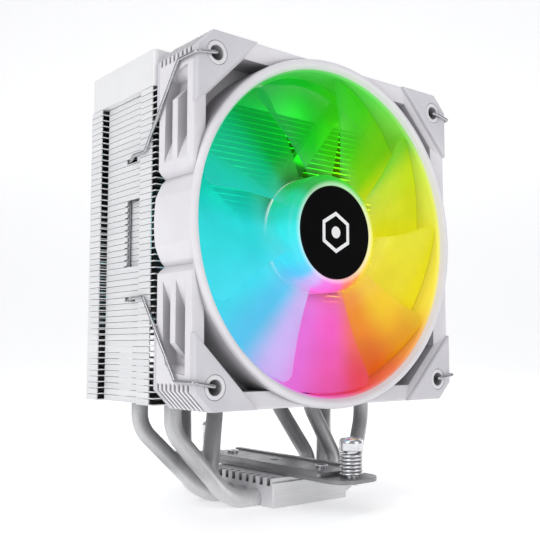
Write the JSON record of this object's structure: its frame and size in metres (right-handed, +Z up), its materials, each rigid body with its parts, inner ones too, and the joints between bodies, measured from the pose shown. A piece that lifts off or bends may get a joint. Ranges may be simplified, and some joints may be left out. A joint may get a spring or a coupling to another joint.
{
  "type": "cpu tower cooler",
  "caption": "White tower cooler for a computer processor: finned stack on bent heat pipes, lit axial fan held by wire clips, spring-screw crossbar",
  "frame": {"origin": "centre of the contact face under the base block", "axes": "+Z up along the tower, +Y away from the fan through the fin stack, +X to the right when looking at the fan"},
  "size_m": [0.123, 0.093, 0.1564],
  "materials": {
    "white_satin": "satin",
    "white_fin": "satin",
    "white_pipe": "satin",
    "base_metal": "satin",
    "bar_steel": "satin",
    "bright_steel": "polished",
    "wire_steel": "polished",
    "frame_plastic": "satin",
    "pad_rubber": "matte",
    "lit_plastic": "frosted, lit from inside",
    "black_gloss": "gloss",
    "yoke_steel": "machined",
    "magnet": "matte",
    "nylon": "matte",
    "brass": "machined",
    "core_steel": "laminated",
    "copper_wire": "lacquered",
    "board": "matte",
    "lamp": "clear",
    "label": "satin foil"
  },
  "bodies": {
    "root": {"top_cover": "white_satin", "fins_lower": "white_fin", "fins_window": "white_fin", "fins_upper": "white_fin", "base_block": "base_metal", "crossbar_plate": "bar_steel", "crossbar_stiffener": "bar_steel", "crossbar_screws": "bright_steel", "screw_spring_front": "bright_steel", "screw_spring_rear": "bright_steel", "fan_frame": "frame_plastic", "bearing_tube": "brass", "bearing_sleeve": "brass", "thrust_cap": "nylon", "stator_core": "core_steel", "coil_bobbins": "nylon", "stator_coils": "copper_wire", "circuit_board": "board", "fan_lamps": "lamp", "rear_label": "label", "corner_pad_front_upper_right": "pad_rubber", "corner_pad_front_upper_left": "pad_rubber", "corner_pad_front_lower_left": "pad_rubber", "corner_pad_front_lower_right": "pad_rubber", "corner_pad_rear_upper_right": "pad_rubber", "corner_pad_rear_upper_left": "pad_rubber", "corner_pad_rear_lower_left": "pad_rubber", "corner_pad_rear_lower_right": "pad_rubber", "heat_pipe_front_outer": "white_pipe", "heat_pipe_front_inner": "white_pipe", "heat_pipe_rear_outer": "white_pipe", "heat_pipe_rear_inner": "white_pipe"},
    "rotor": {"fan_impeller": "lit_plastic", "hub_disc": "black_gloss", "rotor_yoke": "yoke_steel", "magnet_ring": "magnet", "shaft": "yoke_steel", "shaft_clip": "nylon"},
    "front_screw_carrier": {"retaining_ring_front": "bright_steel"},
    "front_screw": {"spring_screw_front": "bright_steel"},
    "rear_screw_carrier": {"retaining_ring_rear": "bright_steel"},
    "rear_screw": {"spring_screw_rear": "bright_steel"},
    "left_clip": {"wire_clip_left": "wire_steel"},
    "right_clip": {"wire_clip_right": "wire_steel"}
  },
  "joints": [
    {"name": "fan_spin", "type": "hinge", "parent": "root", "child": "rotor", "pos_m": [0, -0.025, 0.095], "axis": [0, 1, 0], "continuous": true},
    {"name": "front_screw_press", "type": "slide", "parent": "root", "child": "front_screw_carrier", "axis": [0, 0, -1], "range_m": [0, 0.004], "stiffness_N_per_m": 2500, "springref_m": -0.004, "deforming": ["screw_spring_front"]},
    {"name": "front_screw_turn", "type": "hinge", "parent": "front_screw_carrier", "child": "front_screw", "pos_m": [0, -0.04075, 0.015], "axis": [0, 0, 1], "continuous": true},
    {"name": "rear_screw_press", "type": "slide", "parent": "root", "child": "rear_screw_carrier", "axis": [0, 0, -1], "range_m": [0, 0.004], "stiffness_N_per_m": 2500, "springref_m": -0.004, "deforming": ["screw_spring_rear"]},
    {"name": "rear_screw_turn", "type": "hinge", "parent": "rear_screw_carrier", "child": "rear_screw", "pos_m": [0, 0.04075, 0.015], "axis": [0, 0, 1], "continuous": true},
    {"name": "left_clip_release", "type": "slide", "parent": "root", "child": "left_clip", "axis": [0, -1, 0], "range_m": [0, 0.0024], "stiffness_N_per_m": 1500, "springref_m": -0.003},
    {"name": "right_clip_release", "type": "slide", "parent": "root", "child": "right_clip", "axis": [0, -1, 0], "range_m": [0, 0.0024], "stiffness_N_per_m": 1500, "springref_m": -0.003}
  ]
}
